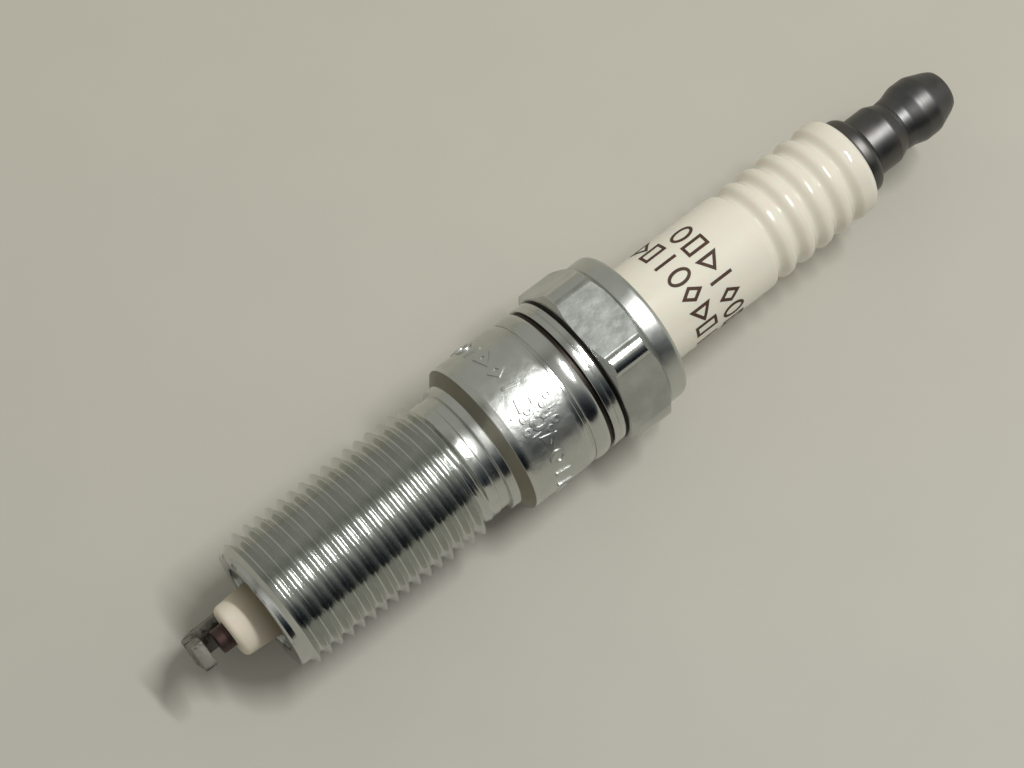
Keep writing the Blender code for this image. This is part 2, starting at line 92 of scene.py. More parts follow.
def turned(name, outline, sides=SIDES):
    """A ring of vertices is laid along the outline, then spun about the plug's axis."""
    bpy.ops.object.select_all(action="DESELECT")
    bpy.ops.mesh.primitive_circle_add(vertices=len(outline), radius=MM)
    piece = bpy.context.active_object
    piece.name = name
    for vertex, (along, out) in zip(piece.data.vertices, outline):
        vertex.co = (SPARK_END + along * MM, 0.0, AXIS_HEIGHT + out * MM)
    bpy.ops.object.mode_set(mode="EDIT")
    bpy.ops.mesh.select_all(action="SELECT")
    bpy.ops.mesh.spin(steps=sides, angle=math.tau, center=(0.0, 0.0, AXIS_HEIGHT),
                      axis=(1.0, 0.0, 0.0))
    bpy.ops.mesh.select_all(action="SELECT")
    bpy.ops.mesh.remove_doubles(threshold=DOUBLES)
    bpy.ops.mesh.delete_loose(use_verts=True, use_edges=True, use_faces=False)
    bpy.ops.mesh.select_all(action="SELECT")
    bpy.ops.mesh.normals_make_consistent(inside=False)
    bpy.ops.object.mode_set(mode="OBJECT")
    bpy.ops.object.shade_smooth_by_angle(angle=math.radians(35.0))
    return piece


def hex_colour(text, alpha=1.0):
    """An sRGB hex colour as linear red, green, blue and alpha."""
    parts = [int(text[i:i + 2], 16) / 255 for i in (1, 3, 5)]
    linear = [c / 12.92 if c <= 0.04045 else ((c + 0.055) / 1.055) ** 2.4 for c in parts]
    return (*linear, alpha)


def node(tree, kind, inputs=None, **settings):
    """Adds a node. Each input is a value, or the output that feeds it."""
    made = tree.nodes.new(kind)
    for name, value in settings.items():
        setattr(made, name, value)
    for name, value in (inputs or {}).items():
        if isinstance(value, bpy.types.NodeSocket):
            tree.links.new(value, made.inputs[name])
        else:
            made.inputs[name].default_value = value
    return made


def grains(size):
    """The scale of a pattern whose grains are this many millimetres across."""
    return 1 / (size * MM)


def new_material(name):
    """An empty node material: its tree, its shader and its object coordinates."""
    material = bpy.data.materials.new(name)
    material.use_nodes = True
    tree = material.node_tree
    shader = tree.nodes["Principled BSDF"]
    place = node(tree, "ShaderNodeTexCoord").outputs["Object"]
    return material, tree, shader, place


NOSE_TIP = along_plug(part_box("insulator")[0].x)
CERAMIC_TOP = along_plug(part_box("insulator")[1].x)
NOSE_RADIUS = 2.60
NOSE_ROUND = 0.85
NOSE_BORE = 1.30
BARE_END = 12.0
FOOT_RADIUS = 4.70
SHOULDER_RADIUS = 6.15
BARREL_RADIUS = 5.22
MAIN_BORE = 2.0
TOP_ROUND = 1.05
RIB_PITCH = 2.37
RIB_COUNT = 5
RIB_TOP_DISTANCE = 2.97
RIB_FIRST_GROOVE = CERAMIC_TOP - RIB_TOP_DISTANCE - (RIB_COUNT - 1) * RIB_PITCH
GROOVE_WIDTH = 2.00
GROOVE_DEPTH = 0.54
GROOVE_STEPS = 12

corners = [(NOSE_TIP, NOSE_BORE, 0.1), (NOSE_TIP, NOSE_RADIUS, NOSE_ROUND),
           (0.0, 2.78, 0.5), (BARE_END, 3.45, 0.3), (14.45, 3.60, 0.2),
           (15.4, FOOT_RADIUS, 0.2), (26.9, FOOT_RADIUS, 0.3), (28.6, SHOULDER_RADIUS, 0.3),
           (34.9, SHOULDER_RADIUS, 0.3), (36.0, BARREL_RADIUS, 0.3)]
for rib in range(RIB_COUNT):
    middle = RIB_FIRST_GROOVE + rib * RIB_PITCH
    for step in range(GROOVE_STEPS + 1):
        share = step / GROOVE_STEPS
        dip = GROOVE_DEPTH * (1 - math.cos(math.tau * share)) / 2
        corners.append((middle + GROOVE_WIDTH * (share - 0.5), BARREL_RADIUS - dip, 0.0))
corners += [(CERAMIC_TOP, BARREL_RADIUS, TOP_ROUND), (CERAMIC_TOP, MAIN_BORE, 0.1),
            (12.2, MAIN_BORE, 0.1), (11.5, NOSE_BORE, 0.1)]
insulator = turned("insulator_ceramic", eased(corners, 6))

# Glazed alumina: a creamy white body under clear glaze, which mirrors a lamp sharply
# over a soft milky shade. The glaze has the faint ripple of a dipped coat.
glaze, tree, shader, place = new_material("glazed_alumina")
tone = node(tree, "ShaderNodeTexNoise", {
    "Vector": place, "Scale": grains(6.25), "Detail": 3.0})
body = node(tree, "ShaderNodeMix", {
    "Factor": tone.outputs["Fac"], "A": hex_colour("#F0EBDC"), "B": hex_colour("#EAE3D1")},
    data_type="RGBA")
ripple = node(tree, "ShaderNodeTexNoise", {
    "Vector": place, "Scale": grains(3.333), "Detail": 1.0})
bump = node(tree, "ShaderNodeBump", {
    "Height": ripple.outputs["Fac"], "Strength": 0.25, "Distance": 0.015 * MM})
tree.links.new(body.outputs["Result"], shader.inputs["Base Color"])
tree.links.new(bump.outputs["Normal"], shader.inputs["Normal"])
shader.inputs["Roughness"].default_value = 0.55
shader.inputs["Specular IOR Level"].default_value = 0.25
shader.inputs["Coat Weight"].default_value = 1.0
shader.inputs["Coat Roughness"].default_value = 0.05
shader.inputs["Subsurface Weight"].default_value = 0.2
shader.inputs["Subsurface Scale"].default_value = 1.2 * MM

# Bare alumina: the nose has no glaze, so it is chalky, with a fine grain. Its tip is light,
# and painted shade makes it browner towards the shell, where the shell shades it. The real
# grain is a few thousandths of a millimetre and is drawn at a quarter of one, so that it shows.
bare, tree, shader, place = new_material("bare_alumina")
soot = node(tree, "ShaderNodeTexNoise", {
    "Vector": place, "Scale": grains(2.381), "Detail": 6.0})
nose = node(tree, "ShaderNodeMix", {
    "Factor": soot.outputs["Fac"], "A": hex_colour("#EFE6D6"), "B": hex_colour("#D3C8B2")},
    data_type="RGBA")
# painted shade: the nose darkens to #958B74 towards the shell's end, where the shell shades it
painted_shade_inwards = node(tree, "ShaderNodeMapRange", {
    "Value": node(tree, "ShaderNodeSeparateXYZ", {"Vector": place}).outputs["X"],
    "From Min": SPARK_END + (NOSE_TIP + 0.9) * MM, "From Max": SPARK_END + 0.4 * MM},
    interpolation_type="SMOOTHSTEP")
nose = node(tree, "ShaderNodeMix", {
    "Factor": painted_shade_inwards.outputs["Result"], "A": nose.outputs["Result"],
    "B": hex_colour("#958B74")}, data_type="RGBA")
grain = node(tree, "ShaderNodeTexNoise", {
    "Vector": place, "Scale": grains(0.25), "Detail": 2.0})
bump = node(tree, "ShaderNodeBump", {
    "Height": grain.outputs["Fac"], "Strength": 0.4, "Distance": 0.03 * MM})
tree.links.new(nose.outputs["Result"], shader.inputs["Base Color"])
tree.links.new(bump.outputs["Normal"], shader.inputs["Normal"])
shader.inputs["Roughness"].default_value = 0.75
shader.inputs["Specular IOR Level"].default_value = 0.25
shader.inputs["Subsurface Weight"].default_value = 0.2
shader.inputs["Subsurface Scale"].default_value = 0.8 * MM
insulator.data.materials.append(glaze)
insulator.data.materials.append(bare)
for face in insulator.data.polygons:
    face.material_index = 1 if along_plug(face.center.x) < BARE_END else 0
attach(insulator, "plug")
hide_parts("insulator")

# ------------------------------------------------------------------ printed marks
# Two rows of plain signs, stamped on the insulator in brown ceramic ink and fired
# under the glaze. They stand a few hundredths of a millimetre proud.

INK_THICKNESS = 0.02
SIGN_HEIGHT = 2.50
SIGN_STROKE = 0.32
# sides, width (0 for a bar, which is one stroke wide) and turn in degrees
SIGNS = {"bar": (4, 0.0, 45.0), "box": (4, 1.35, 45.0), "ring": (28, 1.60, 0.0),
         "roof": (3, 1.75, 90.0), "kite": (4, 1.60, 0.0)}


def flat_sign(kind, height=SIGN_HEIGHT, stroke=SIGN_STROKE, lean=0.0):
    """A flat sign in the XY plane, open in the middle unless it is a bar."""
    sides, width, turn = SIGNS[kind]
    bpy.ops.object.select_all(action="DESELECT")
    bpy.ops.mesh.primitive_circle_add(vertices=sides, radius=0.5, fill_type="NGON",
                                      rotation=(0.0, 0.0, math.radians(turn)))
    bpy.ops.object.transform_apply(rotation=True)
    sign = bpy.context.active_object
    spread = sign.dimensions.copy()
    sign.scale = ((width or stroke) / spread.x, height / spread.y, 1.0)
    bpy.ops.object.transform_apply(scale=True)
    bpy.ops.object.mode_set(mode="EDIT")
    bpy.ops.mesh.select_all(action="SELECT")
    if width:
        bpy.ops.mesh.inset(thickness=stroke, depth=0.0)
        bpy.ops.mesh.delete(type="FACE")
        bpy.ops.mesh.select_all(action="SELECT")
    bpy.ops.mesh.subdivide(number_cuts=4)
    bpy.ops.object.mode_set(mode="OBJECT")
    sign.data.transform(Matrix.Rotation(lean, 4, "Z"))
    return sign


def wrapped(name, signs, radius, rows, turns, thickness):
    """Signs wrapped round the plug, each at its place along it and its own turn."""
    for sign, row, turn in zip(signs, rows, turns):
        for vertex in sign.data.vertices:
            angle = turn - vertex.co.x / radius
            vertex.co = (SPARK_END + (row + vertex.co.y) * MM,
                         -radius * MM * math.sin(angle),
                         AXIS_HEIGHT + radius * MM * math.cos(angle))
    bpy.ops.object.select_all(action="DESELECT")
    for sign in signs:
        sign.select_set(True)
    bpy.context.view_layer.objects.active = signs[0]
    bpy.ops.object.join()
    joined = bpy.context.active_object
    joined.name = name
    face = joined.data.polygons[0]
    away = face.center - Vector((face.center.x, 0.0, AXIS_HEIGHT))
    if face.normal.dot(away) < 0.0:
        joined.data.flip_normals()
    thick = joined.modifiers.new("thickness", "SOLIDIFY")
    thick.thickness = thickness * MM
    thick.offset = 1.0
    bpy.ops.object.modifier_apply(modifier="thickness")
    return joined


# Fired brown ink: matt, and a little lighter in patches where the stamp left it thin.
ink, tree, shader, place = new_material("fired_ceramic_ink")
patch = node(tree, "ShaderNodeTexNoise", {
    "Vector": place, "Scale": grains(0.6667), "Detail": 4.0})
colour = node(tree, "ShaderNodeMix", {
    "Factor": patch.outputs["Fac"], "A": hex_colour("#412F26"), "B": hex_colour("#604A3B")},
    data_type="RGBA")
bump = node(tree, "ShaderNodeBump", {
    "Height": patch.outputs["Fac"], "Strength": 0.3, "Distance": 0.01 * MM})
tree.links.new(colour.outputs["Result"], shader.inputs["Base Color"])
tree.links.new(bump.outputs["Normal"], shader.inputs["Normal"])
shader.inputs["Roughness"].default_value = 0.6
shader.inputs["Specular IOR Level"].default_value = 0.2

SIGN_STEP = math.radians(21.5)
# each row's place along the plug, its first sign's angle in degrees, and its signs
ROWS = {"print_lower": (48.20, 57.0, "roof box bar ring kite roof box bar ring"),
        "print_upper": (51.45, 31.0, "ring box roof bar kite ring box bar")}
for name, (row, first_turn, kinds) in ROWS.items():
    signs = [flat_sign(kind) for kind in kinds.split()]
    turns = [math.radians(-first_turn) + SIGN_STEP * number for number in range(len(signs))]
    printed = wrapped(name, signs, BARREL_RADIUS, [row] * len(signs), turns, INK_THICKNESS)
    printed.data.materials.append(ink)
    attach(printed, "plug")

# ---------------------------------------------------------------------- steel shell
# Cold-forged low-carbon steel, turned, thread-rolled and zinc plated. Its top edge is
# rolled over the insulator's shoulder. The thread is M14 x 1.25.

FACE_RADIUS = 5.98
MOUTH_RADIUS = 4.50
ROOT_RADIUS = 6.18
CREST_RADIUS = 6.93
LAND_END = 22.60
NECK_START = 22.75
NECK_END = 23.62
NECK_RADIUS = 6.10
STEP_RADIUS = 6.60
SEAT_START = 24.50
SEAT_END = 25.45
BODY_RADIUS = 7.80
BODY_END = 32.20
LEDGE_RADIUS = 7.68
BEAD_START = 32.60
BEAD_END = 34.30
BEAD_FOOT = 7.60
BEAD_RISE = 0.30
BEAD_STEPS = 12
RING_START = 34.70
RING_END = 36.15
SCORE_RADIUS = 7.72
HEX_START = 36.40
HEX_END = 41.25
COLLAR_START = 41.37
COLLAR_END = 43.17
COLLAR_RADIUS = 7.88
GROOVE_RADIUS = 7.45
LIP_END = 43.64
LIP_RADIUS = 6.90
LIP_BORE = 5.32
CHAMBER_RADIUS = 6.30
FOOT_BORE = 4.85
LEDGE_BORE = 3.80

# the end face, the thread's root, the neck, the conical seat and the body
corners = [(0.0, MOUTH_RADIUS, 0.15), (0.0, FACE_RADIUS, 0.08), (0.20, ROOT_RADIUS, 0.08),
           (LAND_END, ROOT_RADIUS, 0.3), (NECK_START, NECK_RADIUS, 0.1),
           (NECK_END, NECK_RADIUS, 0.08), (NECK_END + 0.10, STEP_RADIUS, 0.10),
           (SEAT_START, STEP_RADIUS, 0.08), (SEAT_END, BODY_RADIUS, 0.10),
           (BODY_END, BODY_RADIUS, 0.08), (BODY_END + 0.08, LEDGE_RADIUS, 0.04),
           (BODY_END + 0.24, LEDGE_RADIUS, 0.04), (BODY_END + 0.28, BEAD_FOOT, 0.03),
           (BEAD_START, BEAD_FOOT, 0.0)]
for step in range(1, BEAD_STEPS):
    angle = math.pi * step / BEAD_STEPS
    middle = (BEAD_START + BEAD_END) / 2
    corners.append((middle - (BEAD_END - BEAD_START) / 2 * math.cos(angle),
                    BEAD_FOOT + BEAD_RISE * math.sin(angle) ** 0.8, 0.0))
# the groove, the ring with its scored line, the groove under the hexagon, and the collar
corners += [(BEAD_END, BEAD_FOOT, 0.03), (BEAD_END + 0.04, GROOVE_RADIUS, 0.05),
            (RING_START, GROOVE_RADIUS, 0.05), (RING_START + 0.06, BODY_RADIUS, 0.10),
            (35.36, BODY_RADIUS, 0.05), (35.40, SCORE_RADIUS, 0.03),
            (35.46, SCORE_RADIUS, 0.03), (35.50, BODY_RADIUS - 0.03, 0.05),
            (RING_END - 0.08, BODY_RADIUS - 0.03, 0.12), (RING_END, GROOVE_RADIUS, 0.06),
            (HEX_END - 0.4, GROOVE_RADIUS, 0.1),
            (COLLAR_START - 0.06, COLLAR_RADIUS - 0.14, 0.06),
            (COLLAR_START + 0.10, COLLAR_RADIUS, 0.10),
            (COLLAR_END + 0.25, COLLAR_RADIUS, 0.55), (LIP_END, LIP_RADIUS, 0.35)]
# the hollow that holds the insulator, from the lip back to the spark end
corners += [(LIP_END - 0.10, 5.34, 0.12), (42.7, LIP_BORE, 0.1),
            (42.35, CHAMBER_RADIUS, 0.1), (30.2, CHAMBER_RADIUS, 0.1),
            (28.7, FOOT_BORE, 0.1), (15.05, FOOT_BORE, 0.1), (14.0, LEDGE_BORE, 0.1),
            (12.0, LEDGE_BORE, 0.2), (11.5, MOUTH_RADIUS, 0.2)]
shell = turned("shell", eased(corners))


def apply_modifier(piece, name):
    """Applies one modifier of a piece, which stays selected."""
    bpy.ops.object.select_all(action="DESELECT")
    piece.select_set(True)
    bpy.context.view_layer.objects.active = piece
    bpy.ops.object.modifier_apply(modifier=name)


def combine(piece, other, operation):
    """Joins, cuts or keeps what two closed pieces share; the second one is used up."""
    boolean = piece.modifiers.new("combine", "BOOLEAN")
    boolean.operation = operation
    boolean.solver = "EXACT"
    boolean.object = other
    apply_modifier(piece, "combine")
    bpy.data.objects.remove(other, do_unlink=True)


# the hexagon: a six-sided prism with rolled corners, crowned at both ends by turning
ACROSS_FLATS = (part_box("shell")[1].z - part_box("shell")[0].z) / MM
CORNER_ROUND = 1.05
bpy.ops.object.select_all(action="DESELECT")
bpy.ops.mesh.primitive_cylinder_add(
    vertices=6, radius=ACROSS_FLATS / 2 / math.cos(math.pi / 6) * MM,
    depth=(HEX_END - HEX_START + 2.0) * MM)
hexagon = bpy.context.active_object
for edge in hexagon.data.edges:
    low, high = (hexagon.data.vertices[i].co for i in edge.vertices)
    edge.select = abs(low.z - high.z) > MM
bpy.ops.object.mode_set(mode="EDIT")
bpy.ops.mesh.select_mode(type="EDGE")
bpy.ops.mesh.bevel(offset=CORNER_ROUND * MM, segments=12)
bpy.ops.object.mode_set(mode="OBJECT")
# the cylinder has a corner on +Y, and laying it along X keeps it there: flats up and down
hexagon.data.transform(Matrix.Translation(
    (SPARK_END + (HEX_START + HEX_END) / 2 * MM, 0.0, AXIS_HEIGHT))
    @ Matrix.Rotation(math.pi / 2, 4, "Y"))
CROWN_RADIUS = 9.15
CROWN_BORE = 6.90
flat = ACROSS_FLATS / 2
crown = turned("crown", eased([
    (HEX_START, CROWN_BORE, 0.0), (HEX_START, flat - 0.12, 0.05),
    (HEX_START + 0.10, flat + 0.15, 0.1), (HEX_START + 0.75, CROWN_RADIUS, 0.3),
    (HEX_END - 0.95, CROWN_RADIUS, 0.3), (HEX_END - 0.12, flat + 0.20, 0.2),
    (HEX_END, flat - 0.03, 0.05), (HEX_END, CROWN_BORE, 0.0)]))
combine(crown, hexagon, "INTERSECT")

# the thread: one rolled right-hand ridge on a helix, sinking away at both ends
PITCH = 1.25
THREAD_START = 0.757
THREAD_END = 21.75
START_TURN = -56.5 / SIDES
TURN_STEPS = 96
FADE_IN = 0.22
FADE_OUT = 0.80
SUNK = 0.12
turns = round((THREAD_END - THREAD_START) / PITCH * TURN_STEPS) / TURN_STEPS
high = CREST_RADIUS - ROOT_RADIUS
RIDGE_STEPS = 9
RIDGE_HALF = 0.605
RIDGE_FOOT = 0.62
CREST_FLAT = 0.035
ridge_outline = [(-RIDGE_FOOT, -SUNK)]
for step in range(-RIDGE_STEPS, RIDGE_STEPS + 1):
    share = abs(step) / RIDGE_STEPS
    away = (CREST_FLAT + (RIDGE_HALF - CREST_FLAT) * share) if step else 0.0
    ridge_outline.append((math.copysign(away, step), high * (1 - share) ** 1.5))
ridge_outline.append((RIDGE_FOOT, -SUNK))
bpy.ops.object.select_all(action="DESELECT")
bpy.ops.mesh.primitive_circle_add(vertices=len(ridge_outline), radius=MM)
thread = bpy.context.active_object
for vertex, (along, out) in zip(thread.data.vertices, ridge_outline):
    radius = (ROOT_RADIUS + out) * MM
    vertex.co = (SPARK_END + (THREAD_START + along) * MM,
                 -radius * math.sin(START_TURN * math.tau),
                 radius * math.cos(START_TURN * math.tau))
screw = thread.modifiers.new("helix", "SCREW")
screw.axis = "X"
screw.angle = turns * math.tau
screw.steps = round(turns * TURN_STEPS)
screw.render_steps = screw.steps
screw.screw_offset = turns * PITCH * MM
screw.merge_threshold = 1e-7
apply_modifier(thread, "helix")
count = len(ridge_outline)
last = len(thread.data.vertices) // count - 1
foot = (ROOT_RADIUS - SUNK) * MM
for vertex in thread.data.vertices:
    step = vertex.index // count
    share = min(1.0, step / (FADE_IN * TURN_STEPS), (last - step) / (FADE_OUT * TURN_STEPS))
    share = 0.1 + 0.9 * share * share * (3 - 2 * share)
    radius = math.hypot(vertex.co.y, vertex.co.z)
    scale = (foot + (radius - foot) * share) / radius
    vertex.co.y *= scale
    vertex.co.z *= scale
bpy.ops.object.mode_set(mode="EDIT")
bpy.ops.mesh.select_all(action="SELECT")
bpy.ops.mesh.fill_holes(sides=0)
bpy.ops.mesh.normals_make_consistent(inside=False)
bpy.ops.transform.translate(value=(0.0, 0.0, AXIS_HEIGHT))
bpy.ops.object.mode_set(mode="OBJECT")
combine(shell, crown, "UNION")
combine(shell, thread, "UNION")
bpy.ops.object.shade_smooth_by_angle(angle=math.radians(32.0))

# Zinc plate on steel: bright and fine-turned on the thread, neck and beads, a rippled
# forged skin on the body and flats, a dull cone darkened partly by oxide and partly by
# painted shade, painted shade in the grooves, and dark dirt on the end face. The zones are
# told apart by their place along the plug. The turning lines are drawn 0.11 mm apart,
# coarser than real ones, so that they show.
plate, tree, shader, place = new_material("zinc_plated_steel")
split = node(tree, "ShaderNodeSeparateXYZ", {"Vector": place})
x = split.outputs["X"]


def band(start, end, soft):
    """1 between two places along the plug and 0 outside, with soft edges."""
    rise = node(tree, "ShaderNodeMapRange", {
        "Value": x, "From Min": SPARK_END + (start - soft) * MM,
        "From Max": SPARK_END + start * MM})
    fall = node(tree, "ShaderNodeMapRange", {
        "Value": x, "From Min": SPARK_END + end * MM,
        "From Max": SPARK_END + (end + soft) * MM, "To Min": 1.0, "To Max": 0.0})
    both = node(tree, "ShaderNodeMath", {0: rise.outputs[0], 1: fall.outputs[0]},
                operation="MULTIPLY")
    return both.outputs[0]


cloud = node(tree, "ShaderNodeTexNoise", {
    "Vector": place, "Scale": grains(2.857), "Detail": 5.0})
mottle = node(tree, "ShaderNodeTexNoise", {
    "Vector": place, "Scale": grains(1.111), "Detail": 6.0, "Roughness": 0.6})
pits = node(tree, "ShaderNodeTexVoronoi", {"Vector": place, "Scale": grains(0.9091)},
            feature="SMOOTH_F1")
turning = node(tree, "ShaderNodeTexNoise", {
    "W": x, "Scale": grains(0.1111), "Detail": 3.0}, noise_dimensions="1D")
CORNER_ZONE = (8.58, 8.68)
from_axis = node(tree, "ShaderNodeCombineXYZ", {
    "Y": split.outputs["Y"], "Z": node(tree, "ShaderNodeMath", {
        0: split.outputs["Z"], 1: AXIS_HEIGHT}, operation="SUBTRACT").outputs[0]})
from_axis = node(tree, "ShaderNodeVectorMath", {0: from_axis.outputs[0]}, operation="LENGTH")
inside_corners = node(tree, "ShaderNodeMapRange", {
    "Value": from_axis.outputs["Value"], "From Min": CORNER_ZONE[0] * MM,
    "From Max": CORNER_ZONE[1] * MM, "To Min": 1.0, "To Max": 0.0})
flats = node(tree, "ShaderNodeMath", {
    0: band(HEX_START + 0.05, HEX_END - 0.05, 0.05), 1: inside_corners.outputs["Result"]},
    operation="MULTIPLY").outputs[0]
body_zone = band(26.2, 31.6, 0.5)
cone = band(SEAT_START + 0.05, SEAT_END - 0.04, 0.03)
grooves = node(tree, "ShaderNodeMath", {
    0: band(BEAD_END, RING_START, 0.05), 1: band(RING_END, HEX_START - 0.02, 0.05)},
    operation="ADD").outputs[0]
bright = node(tree, "ShaderNodeMix", {
    "Factor": cloud.outputs["Fac"], "A": hex_colour("#CFD1CC"), "B": hex_colour("#BCBFBB")},
    data_type="RGBA")
forged = node(tree, "ShaderNodeMapRange", {
    "Value": cloud.outputs["Fac"], "From Min": 0.38, "From Max": 0.62})
forged = node(tree, "ShaderNodeMix", {
    "Factor": forged.outputs["Result"], "A": hex_colour("#C6C9C5"), "B": hex_colour("#B4B7B3")},
    data_type="RGBA")
colour = node(tree, "ShaderNodeMix", {
    "Factor": flats, "A": bright.outputs["Result"], "B": forged.outputs["Result"]},
    data_type="RGBA")
# the seat cone's darker brown-grey is partly its own oxide and partly painted shade
colour = node(tree, "ShaderNodeMix", {
    "Factor": cone, "A": colour.outputs["Result"], "B": hex_colour("#807D70")},
    data_type="RGBA")
# painted shade: the grooves by the bead and under the hexagon are coloured near black
colour = node(tree, "ShaderNodeMix", {
    "Factor": grooves, "A": colour.outputs["Result"], "B": hex_colour("#3C3632")},
    data_type="RGBA")
stains = node(tree, "ShaderNodeMapRange", {
    "Value": mottle.outputs["Fac"], "From Min": 0.50, "From Max": 0.68})
stained_face = node(tree, "ShaderNodeMath", {
    0: stains.outputs["Result"], 1: band(-0.1, 0.14, 0.1)}, operation="MULTIPLY")
colour = node(tree, "ShaderNodeMix", {
    "Factor": stained_face.outputs[0], "A": colour.outputs["Result"],
    "B": hex_colour("#6A6459")}, data_type="RGBA")
rough = node(tree, "ShaderNodeMapRange", {
    "Value": mottle.outputs["Fac"], "From Min": 0.3, "From Max": 0.7,
    "To Min": 0.12, "To Max": 0.22}).outputs["Result"]
collar_zone = band(COLLAR_START, LIP_END, 0.1)
neck_zone = band(22.3, 24.4, 0.1)
# how much rougher each zone is than the bright thread
for zone, rougher in ((flats, 0.16), (collar_zone, 0.16), (neck_zone, 0.07),
                      (body_zone, 0.18), (cone, 0.25), (grooves, 0.25)):
    rough = node(tree, "ShaderNodeMath", {0: zone, 1: rougher, 2: rough},
                 operation="MULTIPLY_ADD").outputs[0]
# the bump: turning lines and a little mottle, or a forged skin on the flats and the body
mottled = node(tree, "ShaderNodeMath", {0: mottle.outputs["Fac"], 1: 0.06},
               operation="MULTIPLY")
turned_skin = node(tree, "ShaderNodeMath", {
    0: turning.outputs["Fac"], 1: 0.08, 2: mottled.outputs[0]}, operation="MULTIPLY_ADD")
forged_skin = node(tree, "ShaderNodeMix", {
    "Factor": 0.4, "A": mottle.outputs["Fac"], "B": pits.outputs["Distance"]},
    data_type="FLOAT")
forged_depth = node(tree, "ShaderNodeMath", {0: flats, 1: 0.4, 2: body_zone},
                    operation="MULTIPLY_ADD")
forged_skin = node(tree, "ShaderNodeMath", {
    0: forged_skin.outputs["Result"], 1: forged_depth.outputs[0]}, operation="MULTIPLY")
forged_zone = node(tree, "ShaderNodeMath", {0: flats, 1: body_zone}, operation="ADD")
height = node(tree, "ShaderNodeMix", {
    "Factor": forged_zone.outputs[0], "A": turned_skin.outputs[0],
    "B": forged_skin.outputs[0]}, data_type="FLOAT")
bump = node(tree, "ShaderNodeBump", {
    "Height": height.outputs["Result"], "Strength": 0.65, "Distance": 0.12 * MM})
tree.links.new(colour.outputs["Result"], shader.inputs["Base Color"])
tree.links.new(rough, shader.inputs["Roughness"])
tree.links.new(bump.outputs["Normal"], shader.inputs["Normal"])
shader.inputs["Metallic"].default_value = 1.0
shell.data.materials.append(plate)
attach(shell, "plug")
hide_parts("shell")

# Raised signs, pressed into the shell's body: one row all round, and a cluster of small
# ones below it, scattered by the golden ratio so that they come out even.
MARK_ROW = 28.75
MARK_STEP = math.radians(15.0)
MARK_HEIGHT = 1.75
MARK_STROKE = 0.38
MARK_LEAN = math.radians(14.0)
MARK_SUNK = 0.05
MARK_RISE = 0.18
MARK_EDGE = 0.09
CLUSTER_COUNT = 14
CLUSTER_START = 27.0
CLUSTER_LENGTH = 4.0
CLUSTER_TURN = 18.0
CLUSTER_SPREAD = 22.0
CLUSTER_STROKE = 0.36
GOLDEN = 0.618
kinds = "ring bar roof kite bar box ring roof ring bar bar kite".split() * 2
signs = [flat_sign(kind, MARK_HEIGHT, MARK_STROKE, MARK_LEAN) for kind in kinds]
turns = [MARK_STEP * (number - 4) for number in range(len(signs))]
rows = [MARK_ROW] * len(signs)
for number in range(CLUSTER_COUNT):
    small = flat_sign("ring" if number % 3 else "bar", 0.75 + 0.2 * (number % 2),
                      CLUSTER_STROKE)
    small.data.transform(Matrix.Diagonal((0.45, 1.0, 1.0, 1.0)))
    signs.append(small)
    rows.append(CLUSTER_START + CLUSTER_LENGTH * (number + 0.5) / CLUSTER_COUNT)
    turns.append(math.radians(CLUSTER_TURN + CLUSTER_SPREAD * (number * GOLDEN % 1.0)))
marks = wrapped("shell_raised_marks", signs, BODY_RADIUS - MARK_SUNK, rows, turns, MARK_RISE)
soft = marks.modifiers.new("edges", "BEVEL")
soft.width = MARK_EDGE * MM
soft.segments = 2
soft.limit_method = "ANGLE"
soft.angle_limit = math.radians(50.0)
apply_modifier(marks, "edges")
bpy.ops.object.shade_smooth_by_angle(angle=math.radians(60.0))
marks.data.materials.append(plate)
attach(marks, "plug")

# ------------------------------------------------------------------ ground electrode
# Flat nickel-alloy strip, welded to the end of the shell, bent over and cut off just
# past the centre electrode.

strap_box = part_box("ground_electrode")
STRAP_WIDTH = 2.60
STRAP_THICKNESS = 1.25
STRAP_RADIUS = 5.28
STRAP_TURN = math.radians(27.6)
BEND = 0.90
ARM_END = 1.30
WELD_DEPTH = 0.05
STRAP_EDGE = 0.16
arm_inside = along_plug(strap_box[0].x) + STRAP_THICKNESS
bpy.ops.object.select_all(action="DESELECT")
bpy.ops.mesh.primitive_plane_add(size=1.0, rotation=(0.0, math.pi / 2, 0.0),
                                 location=(SPARK_END + WELD_DEPTH * MM, 0.0,
                                           AXIS_HEIGHT - STRAP_RADIUS * MM))
strap = bpy.context.active_object
strap.name = "ground_strap"
strap.scale = (STRAP_THICKNESS * MM, STRAP_WIDTH * MM, 1.0)
bpy.ops.object.transform_apply(location=True, rotation=True, scale=True)
inner = STRAP_RADIUS - STRAP_THICKNESS / 2
bpy.ops.object.mode_set(mode="EDIT")
bpy.ops.mesh.select_all(action="SELECT")
bpy.ops.mesh.extrude_region_move(TRANSFORM_OT_translate={
    "value": ((arm_inside + BEND - WELD_DEPTH) * MM, 0.0, 0.0)})
bpy.ops.mesh.spin(steps=10, angle=-math.pi / 2, axis=(0.0, 1.0, 0.0),
                  center=(SPARK_END + (arm_inside + BEND) * MM, 0.0,
                          AXIS_HEIGHT - (inner - BEND) * MM))
bpy.ops.mesh.extrude_region_move(TRANSFORM_OT_translate={
    "value": (0.0, 0.0, (inner - BEND + ARM_END) * MM)})
bpy.ops.mesh.select_all(action="SELECT")
bpy.ops.mesh.remove_doubles(threshold=DOUBLES)
bpy.ops.mesh.normals_make_consistent(inside=False)
bpy.ops.object.mode_set(mode="OBJECT")
